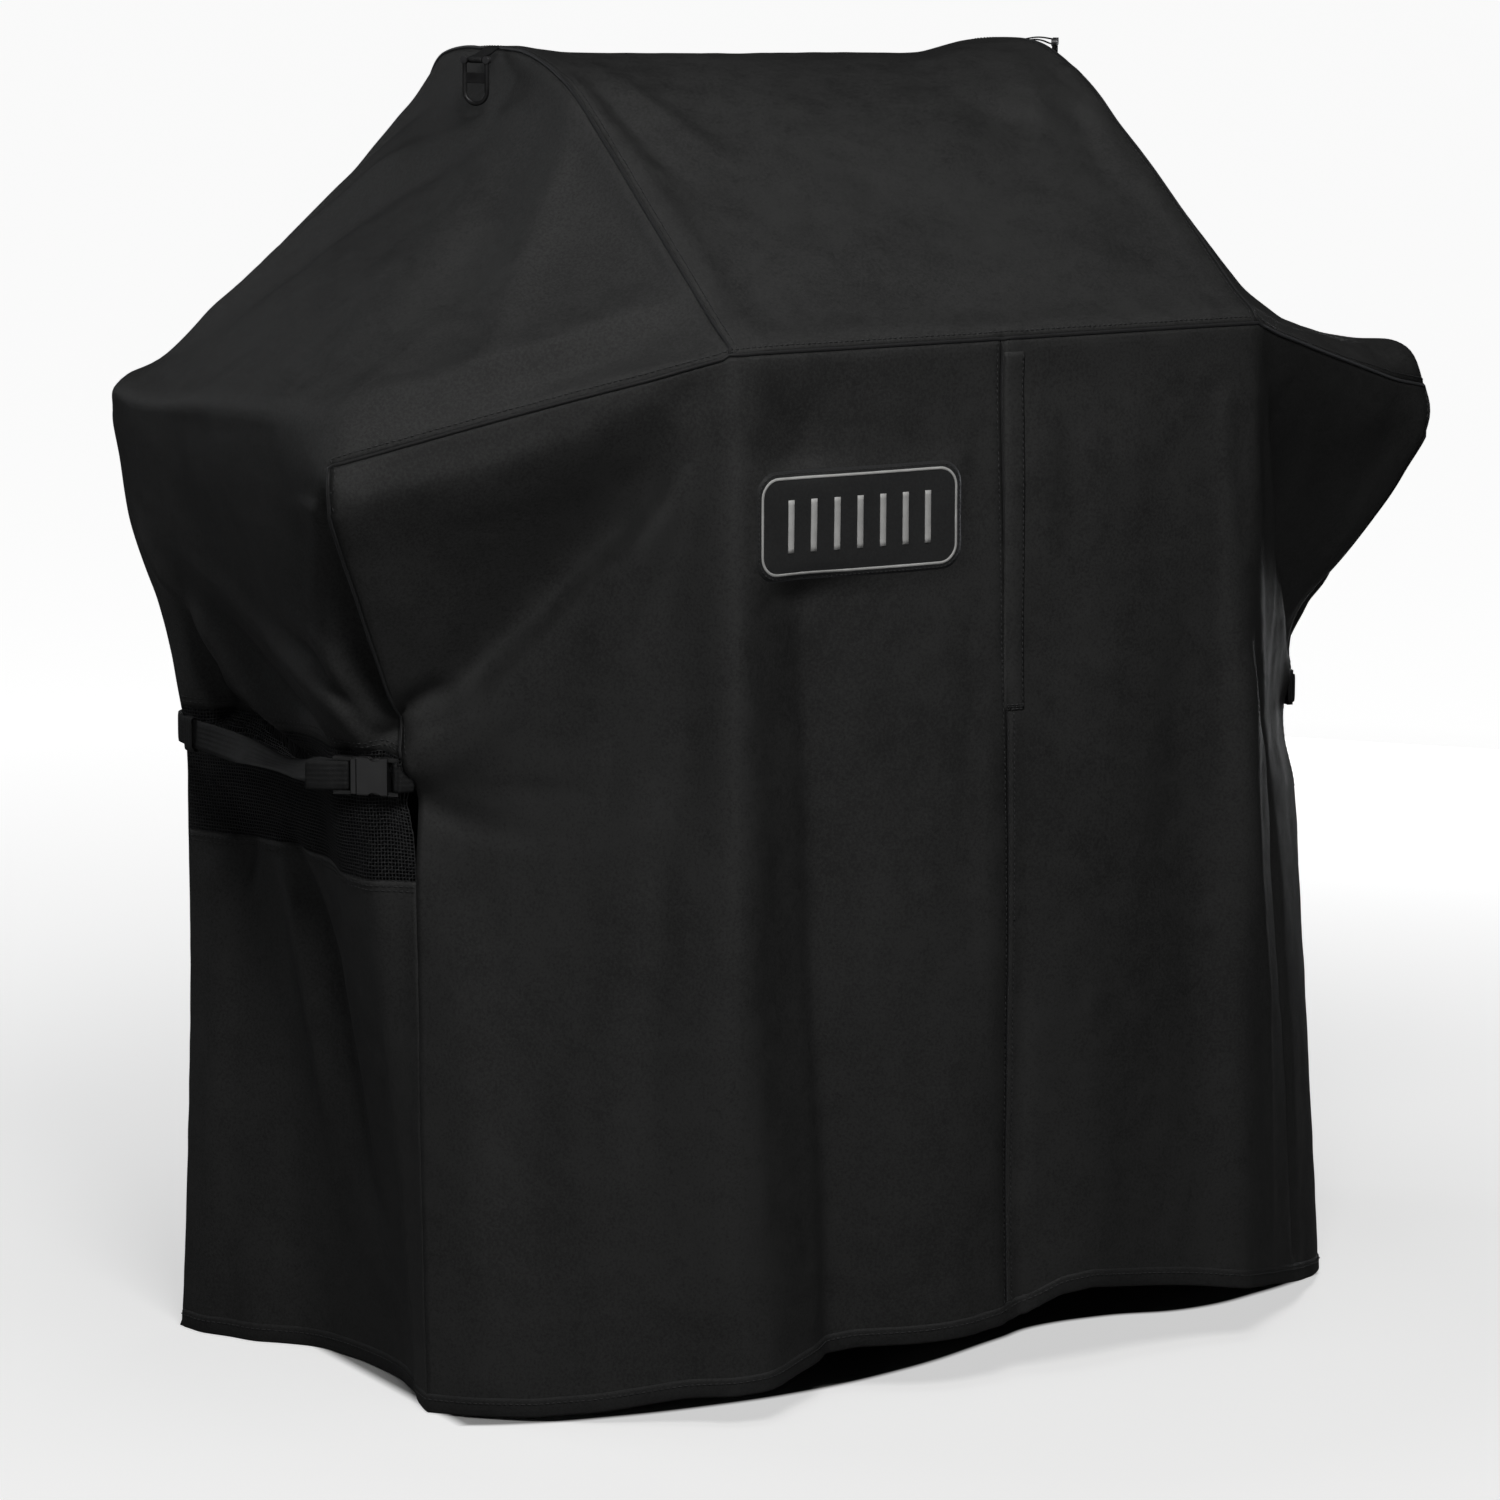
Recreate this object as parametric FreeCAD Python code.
import FreeCAD, Part
import math
import os
from FreeCAD import Vector

# Fabric cover for a free-standing gas grill with a raised lid and two side shelves.
# Frame: millimetres, +Z up, front towards -Y, left side (seen from the front) towards -X.
# Origin: middle of the footprint on the hem plane.
# The cover is modelled as it hangs on the grill, with the straps buckled.

# ---------------------------------------------------------------- driving dimensions
CLOTH = 1.5             # cloth shell thickness
MESH = 1.0              # vent mesh thickness
SEAM_GAP = 0.5          # each panel's edge is drawn back this far from the seam line
HOOD_HALF = 262.0       # half length of the hood between the two arch seams
FRONT_Y = -292.0        # front shoulder seam
SHOULDER_Z = 907.0      # height of the front shoulder seam above the hem
FRONT_FACE_Y = FRONT_Y - 3.0  # front panel below the shoulder seam
TOP_Z = 1136.0          # crown of the hood
HOOD_BACK_Y = 262.0     # back edge of the hood
HOOD_BACK_Z = 1050.0
HOOD_SAG = 9.0          # the crown sags this much between the two ends
SAG_START_Z = 1067.0    # the sag grows from nothing at this height
SAG_RISE = 52.0         # to its full depth this much higher
SHELF_HALF = 555.0      # half span over the side shelves
SHELF_FRONT_Y = -138.0  # front edge of the side shelves
SHELF_Z = 857.0         # top edge of the cover over the shelf, front corner
SHELF_BACK_Z = 833.0    # the same at the back corner
SHELF_SEAM_Z = 815.0    # shoulder seam at the shelf corner
BACK_Y = 298.0          # back face, at the middle
VENT_TOP_Z = 560.0
WAIST_Z = 541.0         # strap centre line
VENT_BOTTOM_Z = 452.0
HEM_RISE = 56.0         # rise of the front hem at the middle seam
HEM_CURVE_TOP = 300.0   # the rise fades out at this level
HEM_SETBACK = 8.0       # the front hem lies this far behind the front panel's face
FRONT_BELLY = 14.0      # the front panel bulges this much beside the hood
PIPE_R = 1.5            # piping cord radius at the seams
PIPE_LIFT = PIPE_R + 0.7  # cord centre above the cloth's outer face
HEM_BAND = 18.0         # width of the turned hem band
HEM_BAND_T = 1.2
HEM_BAND_DEPTH = CLOTH + 2.2  # the band's outer face, measured in from the outline
WEB_W = 25.0            # strap webbing width
WEB_T = 1.6             # strap webbing thickness

ORIGIN = Vector(0, 0, 0)
X_AXIS = Vector(1, 0, 0)
Y_AXIS = Vector(0, 1, 0)
UP = Vector(0, 0, 1)

# ---------------------------------------------------------------- outline, left half (x < 0)
# hood arch from front to back: (y, z)
ARCH = [
    (FRONT_Y, SHOULDER_Z), (-219, 960), (-146, 1013), (-73, 1067), (0, 1119), (55, 1132),
    (110, TOP_Z), (165, 1133), (215, 1121), (248, 1092), (HOOD_BACK_Y, HOOD_BACK_Z),
]
# eave from the hood's front corner round the shelf to the hood's back corner: (x, y, z)
EAVE = [
    (-HOOD_HALF, FRONT_Y, SHOULDER_Z), (-345, -250, 897), (-450, -192, 881),
    (-SHELF_HALF, SHELF_FRONT_Y, SHELF_Z), (-556, -30, 853), (-556, 70, 849),
    (-556, 150, 844), (-556, 225, 838), (-SHELF_HALF, 295, SHELF_BACK_Z),
    (-405, 284, 945), (-HOOD_HALF, HOOD_BACK_Y, HOOD_BACK_Z),
]
# shoulder seam from the hood's front corner to the shelf corner: (x, y, z)
SHOULDER = [
    (-HOOD_HALF, FRONT_Y, SHOULDER_Z), (-360, -241, 876), (-457, -190, 846),
    (-SHELF_HALF, SHELF_FRONT_Y, SHELF_SEAM_Z),
]
# side below the eave, level: (x, y) from the front corner to the back corner
SIDE = {
    SHELF_SEAM_Z: [(-SHELF_HALF, SHELF_FRONT_Y), (-556, -30), (-556, 70),
                   (-556, 150), (-556, 225), (-553, 295)],
    740.0: [(-525, -122), (-545, -28), (-545, 68), (-545, 150), (-542, 225), (-533, 292)],
    660.0: [(-493, -105), (-524, -32), (-518, 62), (-522, 146), (-525, 212), (-522, 270)],
    VENT_TOP_Z: [(-456, -86), (-500.5, -34), (-480.5, 60),
                 (-493, 142), (-509, 197.5), (-518.5, 234)],
    WAIST_Z: [(-450, -84), (-499, -33), (-476, 60), (-490, 142), (-508, 196), (-518, 228)],
    VENT_BOTTOM_Z: [(-452, -91), (-488, -36), (-468, 60),
                    (-484, 140), (-506, 192), (-519, 222)],
    300.0: [(-455, -104), (-466, -34), (-460, 64), (-480, 136), (-508, 186), (-520, 221)],
    150.0: [(-458, -116), (-450, -32), (-452, 68), (-480, 133), (-512, 183), (-525, 221)],
    0.0: [(-462, -129), (-441, -30), (-447, 70), (-480, 130), (-515, 180), (-532, 222)],
}
LEVELS = list(SIDE)
LEVELS_TO_VENT = LEVELS[:4]
VENT_LEVELS = LEVELS[3:6]
LEVELS_BELOW_VENT = LEVELS[5:]
BACK_CORNER = 5  # column of SIDE at the back corner

# On the right the strap is drawn tighter, so the cloth there runs straight
# from the front corner to the vent's middle.
# (level, column of SIDE): (x, y) in place of the mirrored left-hand point
RIGHT_SIDE = {
    (740.0, 0): (540.0, -128.0),
    (VENT_TOP_Z, 0): (451.5, -86.5),
    (WAIST_Z, 0): (445.0, -84.0),
    (VENT_TOP_Z, 1): (462.0, -34.0),
    (WAIST_Z, 1): (459.0, -33.0),
    (VENT_BOTTOM_Z, 1): (460.0, -36.0),
}


# ---------------------------------------------------------------- point grids of the panels
def point_key(point):
    return tuple(round(value, 2) for value in point)


def mirror_point(point):
    return (-point[0], point[1], point[2])


def side_point(level, column):
    x, y = SIDE[level][column]
    return (x, y, level)


def side_grid(levels):
    return [[side_point(level, j) for j in range(6)] for level in levels]


def hood_point(x, y, z):
    """The crown sags between the two ends of the hood."""
    along = 1.0 - (x / HOOD_HALF) ** 2
    height = max(0.0, min(1.0, (z - SAG_START_Z) / SAG_RISE))
    return (x, y, z - HOOD_SAG * along * height)


def hood_grid():
    columns = [HOOD_HALF * share for share in (-1.0, -0.5, 0.0, 0.5, 1.0)]
    return [[hood_point(x, y, z) for x in columns] for y, z in ARCH]


def end_grid():
    """Sloping end panel: rows run from the arch seam to the eave, columns from front to back."""
    # (share of the way to the eave, dip as a share of the span): the cloth drops
    # steeply off the hood end first, then runs out to the shelf
    stations = [(0.0, 0.0), (0.16, 0.07), (0.5, 0.045), (1.0, 0.0)]
    rows = []
    for share, dip_share in stations:
        row = []
        for (arch_y, arch_z), eave in zip(ARCH, EAVE):
            start = (-HOOD_HALF, arch_y, arch_z)
            dip = dip_share * math.dist(start, eave)
            x, y, z = [a + (b - a) * share for a, b in zip(start, eave)]
            row.append((x + dip * 0.45, y, z - dip * 0.8))
        rows.append(row)
    return rows


def band_grid():
    """Front face of the shelf, between the eave fold and the shoulder seam."""
    return [EAVE[:4], SHOULDER]


def drop_grid():
    """Side of the shelf, from the eave down to the vent."""
    return [EAVE[3:9]] + side_grid(LEVELS_TO_VENT)


def front_row(level):
    """Line of the front panel at a level, from the middle seam to the left corner."""
    columns = (0.0, -87.0, -175.0, -HOOD_HALF)
    if level == SHELF_SEAM_Z:
        return [(x, FRONT_Y, SHOULDER_Z) for x in columns] + SHOULDER[1:]
    fade = max(0.0, 1.0 - level / HEM_CURVE_TOP)
    lift = HEM_RISE * fade
    face_y = FRONT_FACE_Y + HEM_SETBACK * fade
    row = [(x, face_y, level + lift * share)
           for x, share in zip(columns, (1.0, 0.9, 0.75, 0.5))]
    corner = side_point(level, 0)
    for share, lift_share in ((1 / 3.0, 0.25), (2 / 3.0, 0.08)):
        row.append((-HOOD_HALF + (corner[0] + HOOD_HALF) * share - FRONT_BELLY * 0.6,
                    face_y + (corner[1] - face_y) * share - FRONT_BELLY,
                    level + lift * lift_share))
    row.append(corner)
    return row


def back_grid():
    """Left half of the back, from the hood's back edge down to the hem."""
    rows = [
        [(x, HOOD_BACK_Y, HOOD_BACK_Z) for x in (-HOOD_HALF, -174.0, -87.0, 0.0)],
        [EAVE[9], (-270.0, 288.0, 945.0), (-135.0, 290.0, 945.0), (0.0, 290.0, 945.0)],
        [EAVE[8], (-370.0, 297.0, SHELF_BACK_Z), (-185.0, BACK_Y, SHELF_BACK_Z),
         (0.0, BACK_Y, SHELF_BACK_Z)],
    ]
    for level in LEVELS[1:]:
        rows.append([side_point(level, BACK_CORNER), (-430.0, 291.0, level),
                     (-215.0, BACK_Y, level), (0.0, BACK_Y, level)])
    return rows


RIGHT_POINTS = {point_key(side_point(level, column)): (x, y, level)
                for (level, column), (x, y) in RIGHT_SIDE.items()}


def right_grid(grid):
    """Mirror of a left-hand grid with the right-hand side points put in."""
    return [[RIGHT_POINTS.get(point_key(p), mirror_point(p)) for p in row] for row in grid]


# ---------------------------------------------------------------- triangles and normals
def grid_triangles(grid):
    """Triangles of a grid, split along each cell's shorter diagonal, without collapsed ones."""
    triangles = []
    for i in range(len(grid) - 1):
        for j in range(len(grid[0]) - 1):
            a, b = grid[i][j], grid[i][j + 1]
            c, d = grid[i + 1][j + 1], grid[i + 1][j]
            if math.dist(a, c) <= math.dist(b, d):
                cell = [(a, b, c), (a, c, d)]
            else:
                cell = [(a, b, d), (b, c, d)]
            triangles += [t for t in cell if len({point_key(p) for p in t}) == 3]
    return triangles


def triangle_normal(a, b, c):
    return (b - a).cross(c - a)


def outward(triangles):
    """Winds every triangle so that its normal leaves the inside of the cover."""
    wound = []
    for triangle in triangles:
        a, b, c = [Vector(*p) for p in triangle]
        middle = (a + b + c) * (1 / 3.0)
        inside = Vector(0, 40, min(max(middle.z - 60, 200), 980))
        if triangle_normal(a, b, c).dot(middle - inside) < 0:
            triangle = (triangle[0], triangle[2], triangle[1])
        wound.append(triangle)
    return wound


def panel_triangles():
    """Piece name: triangles of the panel's outer face."""
    left_panels = {
        "{}_end_panel": [end_grid(), band_grid(), drop_grid()],
        "front_{}_panel": [[front_row(level) for level in LEVELS]],
        "{}_vent_mesh": [side_grid(VENT_LEVELS)],
        "{}_lower_panel": [side_grid(LEVELS_BELOW_VENT)],
    }
    grids = {"hood_top_panel": [hood_grid()]}
    for name, left in left_panels.items():
        grids[name.format("left")] = left
        grids[name.format("right")] = [right_grid(grid) for grid in left]
    grids["back_panel"] = [back_grid(), right_grid(back_grid())]
    return {name: [t for grid in parts for t in outward(grid_triangles(grid))]
            for name, parts in grids.items()}


def outline_normals(panels):
    """One angle-weighted normal per point over all panels, so that neighbours offset alike."""
    normals = {}
    for triangles in panels.values():
        for triangle in triangles:
            for i in range(3):
                point = triangle[i]
                here, after, before = [Vector(*triangle[(i + k) % 3]) for k in range(3)]
                normal = triangle_normal(here, after, before).normalize()
                angle = (after - here).getAngle(before - here)
                key = point_key(point)
                normals[key] = normals.get(key, Vector(0, 0, 0)) + normal * angle
    for key, normal in normals.items():
        normal.normalize()
        if key[2] < 0.5:  # the hem is cut square, so its inner edge stays in the hem plane
            normal.z = 0
            normal.normalize()
    return normals


PANELS = panel_triangles()
NORMALS = outline_normals(PANELS)


def lifted(point, distance):
    return tuple(Vector(*point) + NORMALS[point_key(point)] * distance)


# ---------------------------------------------------------------- solid builders
def faceted_solid(points, triangles):
    faces = []
    for triangle in triangles:
        a, b, c = [Vector(*points[i]) for i in triangle]
        faces.append(Part.Face(Part.makePolygon([a, b, c, a])))
    solid = Part.Solid(Part.Shell(faces))
    if solid.Volume < 0:
        solid.reverse()
    if not solid.isValid():
        raise RuntimeError("bad solid")
    return solid


def corner_turns(triangle):
    a, b, c = triangle
    return ((a, b, c), (b, c, a), (c, a, b))


def thick_shell(outline_triangles, thickness):
    """A closed shell between the outline and the same less the thickness, edges drawn back."""
    index, points = {}, []
    for triangle in outline_triangles:
        for point in triangle:
            key = point_key(point)
            if key not in index:
                index[key] = len(points)
                points.append(point)
    triangles = [tuple(index[point_key(p)] for p in t) for t in outline_triangles]
    edges = dict.fromkeys((a, b) for t in triangles for a, b, _ in corner_turns(t))
    border = [(a, b) for a, b in edges if (b, a) not in edges]

    # draw the border in, away from each border edge and in the plane of its own triangle
    shifts = {i: Vector(0, 0, 0) for edge in border for i in edge}
    for triangle in triangles:
        for a, b, c in corner_turns(triangle):
            if (b, a) in edges:
                continue
            start, end, apex = Vector(*points[a]), Vector(*points[b]), Vector(*points[c])
            along = (end - start).normalize()
            inward = (apex - start) - along * (apex - start).dot(along)
            inward.normalize()
            for i in (a, b):
                shifts[i] = shifts[i] + inward * SEAM_GAP

    outer, inner = [], []
    for i, point in enumerate(points):
        place = Vector(*point)
        if i in shifts:
            shift = shifts[i]
            if point[2] < 0.5:  # hem points stay in the hem plane
                shift = Vector(shift.x, shift.y, 0)
                limit = SEAM_GAP * 1.5
                if shift.Length > limit:
                    shift = shift * (limit / shift.Length)
            place = place + shift
        outer.append(place)
        inner.append(place - NORMALS[point_key(point)] * thickness)

    count = len(points)
    faces = triangles + [(c + count, b + count, a + count) for a, b, c in triangles]
    for a, b in border:
        faces += [(b, a, a + count), (b, a + count, b + count)]
    return faceted_solid(outer + inner, faces)


def tube(path, radius, sides=8):
    """A faceted round cord along a polyline."""
    centres = [Vector(*p) for p in path]
    reference = Vector(0.2, 0.9, 0.4)
    points, faces = [], []
    for i, centre in enumerate(centres):
        along = (centres[min(i + 1, len(centres) - 1)] - centres[max(i - 1, 0)]).normalize()
        across = (reference - along * reference.dot(along)).normalize()
        other = along.cross(across)
        reference = across
        for k in range(sides):
            angle = 2 * math.pi * k / sides
            points.append(centre + across * (radius * math.cos(angle))
                          + other * (radius * math.sin(angle)))
    for i in range(len(centres) - 1):
        for k in range(sides):
            a, b = i * sides + k, i * sides + (k + 1) % sides
            faces += [(a, b, b + sides), (a, b + sides, a + sides)]
    first_centre, last_centre = len(points), len(points) + 1
    points += [centres[0], centres[-1]]
    last = (len(centres) - 1) * sides
    for k in range(sides):
        faces.append((first_centre, (k + 1) % sides, k))
        faces.append((last_centre, last + k, last + (k + 1) % sides))
    return faceted_solid(points, faces)


def mirror_x(shape):
    return shape.mirror(ORIGIN, X_AXIS)


def centred_box(size_x, size_y, size_z, centre=ORIGIN):
    corner = centre - Vector(size_x / 2, size_y / 2, size_z / 2)
    return Part.makeBox(size_x, size_y, size_z, corner)


def fillet_by_length(shape, radius, length):
    """Rounds the edges that have the given length."""
    return shape.makeFillet(radius, [e for e in shape.Edges if abs(e.Length - length) < 0.01])


def arc_points(centre_a, radius, start_deg, sweep_deg, steps=12):
    """Points of an arc about (centre_a, 0)."""
    angles = [math.radians(start_deg + sweep_deg * k / steps) for k in range(steps + 1)]
    return [(centre_a + radius * math.cos(t), radius * math.sin(t)) for t in angles]


def band_outline(path, thickness):
    """Closed outline of a band of a thickness along a 2D path [(a, b), ...]."""
    left, right = [], []
    half = thickness / 2
    for i, (a, b) in enumerate(path):
        before, after = path[max(i - 1, 0)], path[min(i + 1, len(path) - 1)]
        step_a, step_b = after[0] - before[0], after[1] - before[1]
        length = math.hypot(step_a, step_b)
        normal_a, normal_b = -step_b / length, step_a / length
        left.append((a + normal_a * half, b + normal_b * half))
        right.append((a - normal_a * half, b - normal_b * half))
    return left + right[::-1]


def extrude_band(path, thickness, origin, axis_a, axis_b, axis_width, width):
    """The path lies in the plane (axis_a, axis_b) through origin; width is centred on it."""
    points = [origin + axis_a * a + axis_b * b - axis_width * (width / 2)
              for a, b in band_outline(path, thickness)]
    face = Part.Face(Part.makePolygon(points + [points[0]]))
    return face.extrude(axis_width * width)


pieces = {}

# ---------------------------------------------------------------- cloth and mesh panels
for panel_name, panel in PANELS.items():
    pieces[panel_name] = thick_shell(panel, MESH if panel_name.endswith("mesh") else CLOTH)


# ---------------------------------------------------------------- piping, outside the cloth
def arch_piping():
    arch = [(-HOOD_HALF, y, z) for y, z in ARCH[:-1]]
    end = (-HOOD_HALF - 2.4, HOOD_BACK_Y + 1.6, HOOD_BACK_Z + 1.5)
    return tube([lifted(p, PIPE_LIFT) for p in arch] + [end], PIPE_R)


def shoulder_piping():
    half = [lifted(p, PIPE_LIFT) for p in SHOULDER[:0:-1]]
    half.append((-HOOD_HALF - 1.0, FRONT_Y - 2.6, SHOULDER_Z - 3.4))
    half += [(x, FRONT_Y - PIPE_LIFT, SHOULDER_Z + 0.2) for x in (-258.0, -175.0, -87.0, 0.0)]
    return tube(half + [mirror_point(p) for p in reversed(half[:-1])], PIPE_R)


def back_corner_piping():
    corner = [side_point(level, BACK_CORNER) for level in LEVELS[1:]]
    foot_x, foot_y, _ = corner[-1]
    end = (foot_x - 1.6, foot_y + 1.6, PIPE_R)
    return tube([lifted(p, PIPE_LIFT) for p in corner[:-1]] + [end], PIPE_R)


pieces["left_arch_piping"] = arch_piping()
pieces["right_arch_piping"] = mirror_x(pieces["left_arch_piping"])
pieces["shoulder_seam_piping"] = shoulder_piping()
pieces["left_back_corner_piping"] = back_corner_piping()
pieces["right_back_corner_piping"] = mirror_x(pieces["left_back_corner_piping"])


# ---------------------------------------------------------------- turned hem band, inside the cloth
def hem_ring(share):
    """Closed outline at a share of the way from the hem up to the next level."""
    upper, hem = LEVELS[-2:]
    back = back_grid()
    pairs = list(zip(front_row(hem), front_row(upper)))
    pairs += [(side_point(hem, j), side_point(upper, j)) for j in range(1, 6)]
    pairs += list(zip(back[-1], back[-2]))[1:]
    half = [tuple(a + (b - a) * share for a, b in zip(low, high)) for low, high in pairs]
    return half + [mirror_point(p) for p in reversed(half[1:-1])]


def hem_band():
    low = hem_ring(0.0)
    high = hem_ring(HEM_BAND / LEVELS[-2])
    points, faces = [], []
    for depth in (HEM_BAND_DEPTH, HEM_BAND_DEPTH + HEM_BAND_T):
        for ring in (low, high):
            for hem_point, point in zip(low, ring):
                normal = NORMALS[point_key(hem_point)]
                place = Vector(*point) - Vector(normal.x, normal.y, 0).normalize() * depth
                if ring is low and hem_point[2] < 0.5:
                    place.z += 0.4  # keeps the band's lower edge just above the hem plane
                points.append(place)
    count = len(low)
    for i in range(count):
        j = (i + 1) % count
        outer_low, outer_low_next = i, j
        outer_high, outer_high_next = count + i, count + j
        inner_low, inner_low_next = 2 * count + i, 2 * count + j
        inner_high, inner_high_next = 3 * count + i, 3 * count + j
        faces += [
            (outer_low, outer_low_next, outer_high_next),
            (outer_low, outer_high_next, outer_high),
            (inner_low, inner_high_next, inner_low_next),
            (inner_low, inner_high, inner_high_next),
            (outer_high, outer_high_next, inner_high_next),
            (outer_high, inner_high_next, inner_high),
            (outer_low, inner_low_next, outer_low_next),
            (outer_low, inner_low, inner_low_next),
        ]
    return faceted_solid(points, faces)


pieces["hem_band"] = hem_band()

# ---------------------------------------------------------------- placket strip beside the middle seam
PLACKET_W, PLACKET_T, PLACKET_L = 22.0, 1.2, 305.0
PLACKET_X = 3.0            # edge nearest the middle seam
PLACKET_TOP_Z = SHOULDER_Z - 12.0
PLACKET_Y = FRONT_FACE_Y - 2.6  # front face


def placket():
    corner = Vector(PLACKET_X, PLACKET_Y, PLACKET_TOP_Z - PLACKET_L)
    strip = Part.makeBox(PLACKET_W, PLACKET_T, PLACKET_L, corner)
    front_edges = [e for e in strip.Edges if abs(e.Length - PLACKET_L) < 0.01
                   and e.CenterOfMass.y < PLACKET_Y + PLACKET_T / 2]
    return strip.makeFillet(0.4, front_edges)


pieces["front_placket"] = placket()

# ---------------------------------------------------------------- plain badge on the front left panel
BADGE_X, BADGE_Z, BADGE_W, BADGE_H = -142.0, 762.0, 200.0, 92.0
BADGE_BACK_Y = FRONT_FACE_Y - 0.7
PATCH_T = 1.2
EMBLEM_BACK_Y = BADGE_BACK_Y - PATCH_T - 0.05
EMBLEM_T = 0.5             # emblem ground
RELIEF_T = 1.1             # raised rim and bars
EMBLEM_W, EMBLEM_H = BADGE_W - 12, BADGE_H - 12
RIM_W = 5.0
BAR_COUNT, BAR_PITCH, BAR_WIDTH, BAR_HEIGHT = 7, 22, 7.0, 44.0


def rounded_plate(width, height, corner_r, thickness, back_y, x=BADGE_X):
    """Upright plate centred on the badge's height, corners rounded."""
    corner = Vector(x - width / 2, back_y - thickness, BADGE_Z - height / 2)
    box = Part.makeBox(width, thickness, height, corner)
    return fillet_by_length(box, corner_r, thickness)


def badge_emblem():
    emblem = rounded_plate(EMBLEM_W, EMBLEM_H, 15.0, EMBLEM_T, EMBLEM_BACK_Y)
    rim = rounded_plate(EMBLEM_W, EMBLEM_H, 15.0, RELIEF_T, EMBLEM_BACK_Y)
    opening = rounded_plate(EMBLEM_W - 2 * RIM_W, EMBLEM_H - 2 * RIM_W, 10.5, 3.0,
                            BADGE_BACK_Y - 0.5)
    emblem = emblem.fuse(rim.cut(opening))
    for k in range(BAR_COUNT):
        bar_x = BADGE_X + BAR_PITCH * (k - (BAR_COUNT - 1) / 2)
        emblem = emblem.fuse(
            rounded_plate(BAR_WIDTH, BAR_HEIGHT, 3.4, RELIEF_T, EMBLEM_BACK_Y, bar_x))
    return emblem.removeSplitter()


pieces["badge_patch"] = rounded_plate(BADGE_W, BADGE_H, 20.0, PATCH_T, BADGE_BACK_Y)
pieces["badge_emblem"] = badge_emblem()

# ---------------------------------------------------------------- hanging loops near the top of each hood end
# The ring's bar lies across the horizontal direction RING_FACE, which leaves the hood;
# the webbing tab runs from the arch seam to the bar.
BAR_CENTRE = Vector(-298.0, 88.0, 1127.0)
RING_FACE = Vector(-0.8, -0.6, 0.0)
BAR_AXIS = Vector(-RING_FACE.y, RING_FACE.x, 0.0)
RING_HALF = 10.5           # half distance between the ring's legs
RING_LEG = 27.0            # straight leg below the bar
WIRE_R, BAR_R = 2.1, 1.6
BOSS_R, BOSS_L = 3.3, 5.2  # round bosses at the bar's ends
PLATE_T, PLATE_H, PLATE_DROP = 2.6, 9.0, 15.5  # cross plate between the legs
TAB_W, TAB_T = 13.0, 1.1
TAB_LOOP_R = BAR_R + 0.25 + 0.6  # webbing centre line round the bar


def hang_ring():
    down = -UP
    ends = (BAR_CENTRE - BAR_AXIS * RING_HALF, BAR_CENTRE + BAR_AXIS * RING_HALF)
    ring = Part.makeCylinder(BAR_R, 2 * RING_HALF, ends[0], BAR_AXIS)
    for end in ends:
        ring = ring.fuse(Part.makeCylinder(WIRE_R, RING_LEG, end, down))
        boss_start = end - RING_FACE * (BOSS_L / 2)
        ring = ring.fuse(Part.makeCylinder(BOSS_R, BOSS_L, boss_start, RING_FACE))
    bow_centre = BAR_CENTRE + down * RING_LEG
    bow = Part.makeTorus(RING_HALF, WIRE_R, bow_centre, RING_FACE)
    lower_half = centred_box(60, 60, 30, bow_centre + down * 15)
    ring = ring.fuse(bow.common(lower_half))
    plate = centred_box(2 * RING_HALF, PLATE_T, PLATE_H)
    plate = fillet_by_length(plate, 0.7, 2 * RING_HALF)
    plate.rotate(ORIGIN, UP, math.degrees(math.atan2(BAR_AXIS.y, BAR_AXIS.x)))
    plate.translate(BAR_CENTRE + down * PLATE_DROP)
    return ring.fuse(plate).removeSplitter()


def hang_tab():
    # (along RING_FACE, up) from the bar's centre
    path = [(-31.0, 9.4), (-12.0, 3.6)]
    path += arc_points(0, TAB_LOOP_R, 105, -215)
    path += [(-12.0, 1.3), (-31.0, 7.0)]
    return extrude_band(path, TAB_T, BAR_CENTRE, RING_FACE, UP, BAR_AXIS, TAB_W)


for loop_part, loop_shape in (("hang_tab", hang_tab()), ("hang_ring", hang_ring())):
    pieces["left_" + loop_part] = loop_shape
    pieces["right_" + loop_part] = mirror_x(loop_shape)

# ---------------------------------------------------------------- side release buckle, in its own frame
# u runs from the female half to the male half, v is up, w points away from the cloth.
# The origin is the middle of the female's mouth.
FEMALE_L, FEMALE_HALF_V, FEMALE_HALF_W, FEMALE_ROUND = 27, 16.2, 5.0, 1.6
FEMALE_BAR_U, FEMALE_BAR_R = -34.4, 1.9   # webbing bar at the far end
FEMALE_LUG_V, MALE_LUG_V, LUG_HALF = 14.6, 14.4, 1.6
WINDOW_HALF_W = 3.2
WINDOW = [(-22, 12), (-22, 17), (-6.5, 17), (-9.8, 13.8), (-9.8, 12)]  # side window (u, v)
DISH_R, DISH_U, DISH_V = 8.0, -15.5, 21.2  # finger dish in each edge
LOCK_HALF_V = 15.9         # half length of the ladder lock's bars
PRONG_HALF_W = 2.0
HINGE_U, HINGE_V, HINGE_R = 1.2, 10.6, 1.4  # root pin of the upper prong
# upper prong (u, v): inner flank, barb, then the outer flank back to the root
PRONG = [
    (1.2, 9.2), (-18.5, 9.4), (-20.6, 10.6), (-21.2, 12.6), (-20.2, 14.6),
    (-17.6, 15.7), (-15.6, 15.4), (-10.9, 13.4), (-5.6, 12.1), (1.2, 12.0),
]


def around(centre, half):
    return (centre - half, centre + half)


def local_box(u_range, v_range, w_range):
    starts, ends = zip(u_range, v_range, w_range)
    sizes = [end - start for start, end in zip(starts, ends)]
    return Part.makeBox(*sizes, Vector(*starts))


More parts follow.
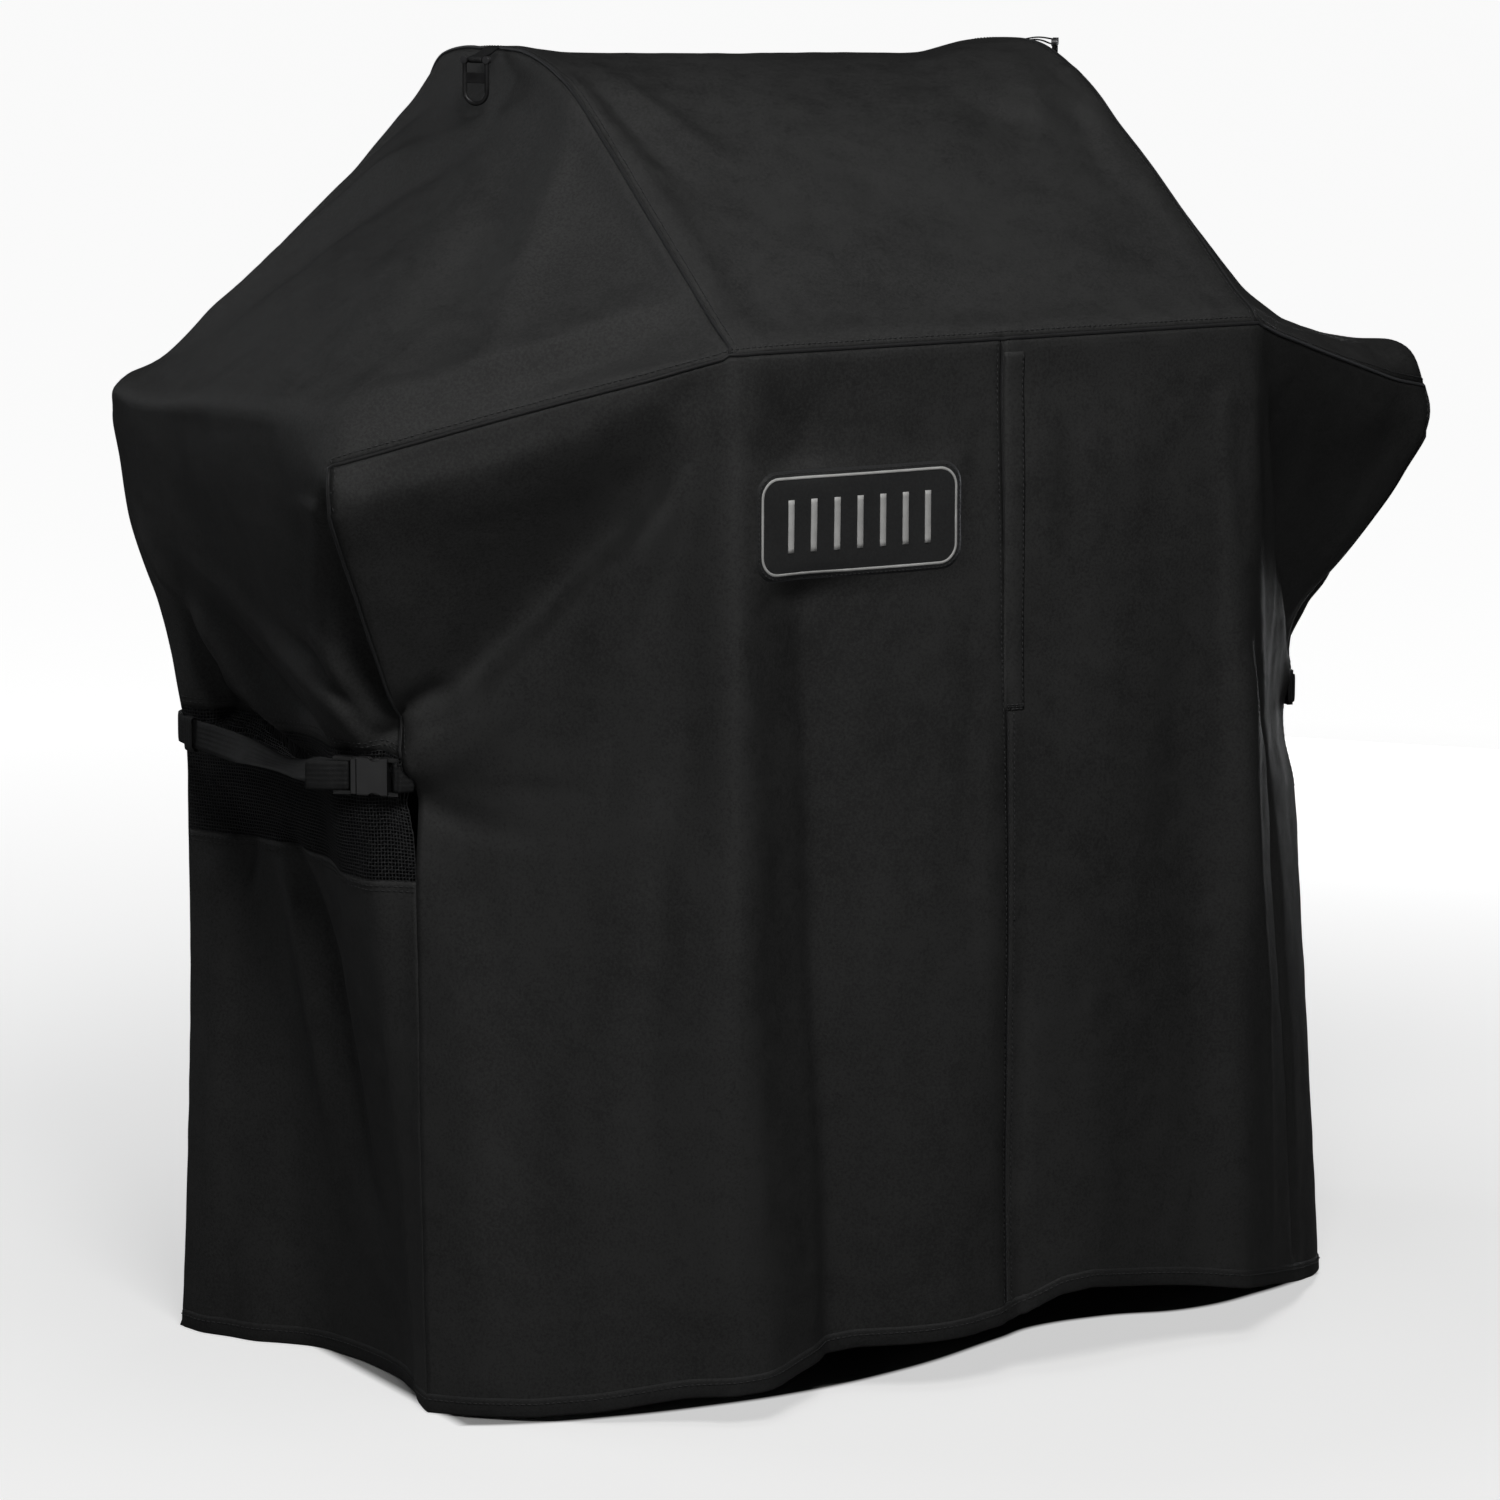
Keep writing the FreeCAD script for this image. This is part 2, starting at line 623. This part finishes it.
def local_prism(outline, half_w):
    points = [Vector(u, v, -half_w) for u, v in outline]
    face = Part.Face(Part.makePolygon(points + [points[0]]))
    return face.extrude(UP * (2 * half_w))


def buckle_female():
    """Flat box with an open mouth, side windows, and a webbing bar at its far end."""
    female = local_box((-FEMALE_L, 0), around(0, FEMALE_HALF_V), around(0, FEMALE_HALF_W))
    female = fillet_by_length(female, FEMALE_ROUND, FEMALE_L)
    female = female.cut(local_box((-24.5, 1), around(0, 13.8), around(0, 3.0)))
    window = local_prism(WINDOW, WINDOW_HALF_W)
    female = female.cut(window).cut(window.mirror(ORIGIN, Y_AXIS))
    for side in (1, -1):
        dish = Part.makeCylinder(DISH_R, 12, Vector(DISH_U, side * DISH_V, -6), UP)
        female = female.cut(dish)
    for side in (1, -1):
        female = female.fuse(
            local_box((-36, -26.5), around(side * FEMALE_LUG_V, LUG_HALF), around(0, 2.6)))
    bar_start = Vector(FEMALE_BAR_U, -FEMALE_HALF_V, 0)
    female = female.fuse(
        Part.makeCylinder(FEMALE_BAR_R, 2 * FEMALE_HALF_V, bar_start, Y_AXIS))
    return female.removeSplitter()


def buckle_male():
    """Base, centre guide and ladder lock with two bars."""
    male = local_box((0.4, 6.0), around(0, 15.6), around(0, 4.4))
    male = male.makeFillet(0.9, male.Edges)
    guide_half_w = 1.6
    guide = local_box((-17.0, 0.9), around(0, 1.7), around(0, guide_half_w))
    male = male.fuse(fillet_by_length(guide, 0.6, 2 * guide_half_w))
    for side in (1, -1):
        male = male.fuse(
            local_box((5.5, 21.5), around(side * MALE_LUG_V, LUG_HALF), around(0, 2.8)))
    male = male.fuse(local_box((11.2, 13.8), around(0, LOCK_HALF_V), around(0, 1.6)))
    male = male.fuse(local_box((18.8, 21.4), around(0, LOCK_HALF_V), (-2.0, 2.8)))
    # pockets in the base hold the roots of the two spring prongs, with room to flex
    for side in (1, -1):
        male = male.cut(local_box((-0.5, 3.0), around(side * HINGE_V, 2.6), around(0, 2.5)))
    return male.removeSplitter()


def upper_prong():
    """Spring prong with a barb; the barb's long back flank lets it ride out of the window."""
    prong = local_prism(PRONG, PRONG_HALF_W)
    pin = Part.makeCylinder(
        HINGE_R, 2 * PRONG_HALF_W, Vector(HINGE_U, HINGE_V, -PRONG_HALF_W), UP)
    return prong.fuse(pin).removeSplitter()


# ---------------------------------------------------------------- buckles and straps on both sides
MOUTH_REACH = 46.0         # from the front corner to the buckle's mouth
STAND_OFF = 10.4           # buckle centre plane off the cloth


class BuckleFrame:
    """Buckle frame placed from a front corner; it is left-handed on the left side."""

    def __init__(self, corner, along, is_left):
        self.along = along.normalize()
        self.right_handed_w = self.along.cross(UP)
        self.is_left = is_left
        self.out = -self.right_handed_w if is_left else self.right_handed_w
        self.mouth = (Vector(*corner, WAIST_Z) + self.along * MOUTH_REACH
                      + self.out * STAND_OFF)

    def place(self, shape):
        # a rigid placement cannot turn w over, so the left side is mirrored first
        placed = shape.mirror(ORIGIN, UP) if self.is_left else shape.copy()
        u, w, at = self.along, self.right_handed_w, self.mouth
        matrix = FreeCAD.Matrix(u.x, UP.x, w.x, at.x, u.y, UP.y, w.y, at.y,
                                u.z, UP.z, w.z, at.z, 0, 0, 0, 1)
        placed.Placement = FreeCAD.Placement(matrix).multiply(placed.Placement)
        return placed

    def to_local(self, x, y):
        offset = Vector(x, y, WAIST_Z) - self.mouth
        return (offset.dot(self.along), offset.dot(self.out))

    def strap(self, path):
        return extrude_band(path, WEB_T, self.mouth, self.along, self.out, UP, WEB_W)


# short front strap, (u, w): doubled webbing round the female's bar, ending at the front corner
FRONT_STRAP = (
    [(-45.5, -2.6), (-42.0, -2.6), (-37.6, -3.35)]
    + arc_points(FEMALE_BAR_U, FEMALE_BAR_R + 0.35 + WEB_T / 2, -110, 220)
    + [(-37.6, 3.35), (-42.0, 0.0), (-45.5, -0.2)]
)
# start of the long rear strap, (u, w): from its free end through the ladder lock
STRAP_TAIL = [
    (44.0, 7.4), (30.0, 7.2), (24.0, 6.4), (18.0, 3.9), (13.6, 3.0), (10.2, 2.5), (8.6, 1.6),
    (8.1, 0.0), (8.6, -1.6), (10.2, -2.7), (13.6, -3.3), (18.0, -3.6), (22.0, -3.9), (26.0, -4.2),
]
# rear strap across the vent, (x, y) in the cover's frame
LEFT_RUN = [(-512.0, -14.0), (-516.0, 8.0), (-519.0, 60.0), (-523.0, 120.0), (-526.0, 180.0)]
RIGHT_RUN = [(472.5, 8.0), (488.5, 60.0), (506.5, 120.0), (524.5, 178.0)]
# rear strap round the back corner, (distance from the middle, y)
CORNER_RUN = [(528.0, 222.0), (524.0, 244.0), (507.0, 262.0), (478.0, 281.0), (455.0, 294.0)]

left_frame = BuckleFrame(SIDE[WAIST_Z][0], Vector(-0.7, 0.714, 0.0), True)
# the right buckle lies along the straight cloth, towards the vent's middle
right_corner = RIGHT_SIDE[(WAIST_Z, 0)]
vent_middle = SIDE[WAIST_Z][2]
right_along = Vector(-vent_middle[0] - right_corner[0], vent_middle[1] - right_corner[1], 0)
right_frame = BuckleFrame(right_corner, right_along, False)

prong_shape = upper_prong()
buckle_parts = {
    "buckle_female": buckle_female(),
    "buckle_male": buckle_male(),
    "upper_prong": prong_shape,
    "lower_prong": prong_shape.mirror(ORIGIN, Y_AXIS),
}
for side_name, frame, sign, vent_run in (("left_", left_frame, -1, LEFT_RUN),
                                         ("right_", right_frame, 1, RIGHT_RUN)):
    for part_name, part in buckle_parts.items():
        pieces[side_name + part_name] = frame.place(part)
    pieces[side_name + "front_strap"] = frame.strap(FRONT_STRAP)
    strap_run = vent_run + [(sign * x, y) for x, y in CORNER_RUN]
    pieces[side_name + "rear_strap"] = frame.strap(
        STRAP_TAIL + [frame.to_local(x, y) for x, y in strap_run])

# ---------------------------------------------------------------- strap keepers near the back corners
KEEPER_CENTRE = Vector(-526.5, 194.0, WAIST_Z)
KEEPER_W = 16.0            # width of the keeper's narrow webbing
KEEPER_T = 1.2
KEEPER_OPENING_X, KEEPER_OPENING_Z = 5.0, WEB_W + 4.0


def strap_keeper():
    keeper = centred_box(KEEPER_OPENING_X + 2 * KEEPER_T, KEEPER_W,
                         KEEPER_OPENING_Z + 2 * KEEPER_T, KEEPER_CENTRE)
    return keeper.cut(
        centred_box(KEEPER_OPENING_X, KEEPER_W + 2, KEEPER_OPENING_Z, KEEPER_CENTRE))


pieces["left_strap_keeper"] = strap_keeper()
pieces["right_strap_keeper"] = mirror_x(pieces["left_strap_keeper"])

# ---------------------------------------------------------------- one STEP file per piece
os.makedirs("parts", exist_ok=True)
for file_name in os.listdir("parts"):
    if file_name.endswith(".step"):
        os.remove(os.path.join("parts", file_name))
for piece_name, piece in sorted(pieces.items()):
    piece.exportStep(os.path.join("parts", piece_name + ".step"))
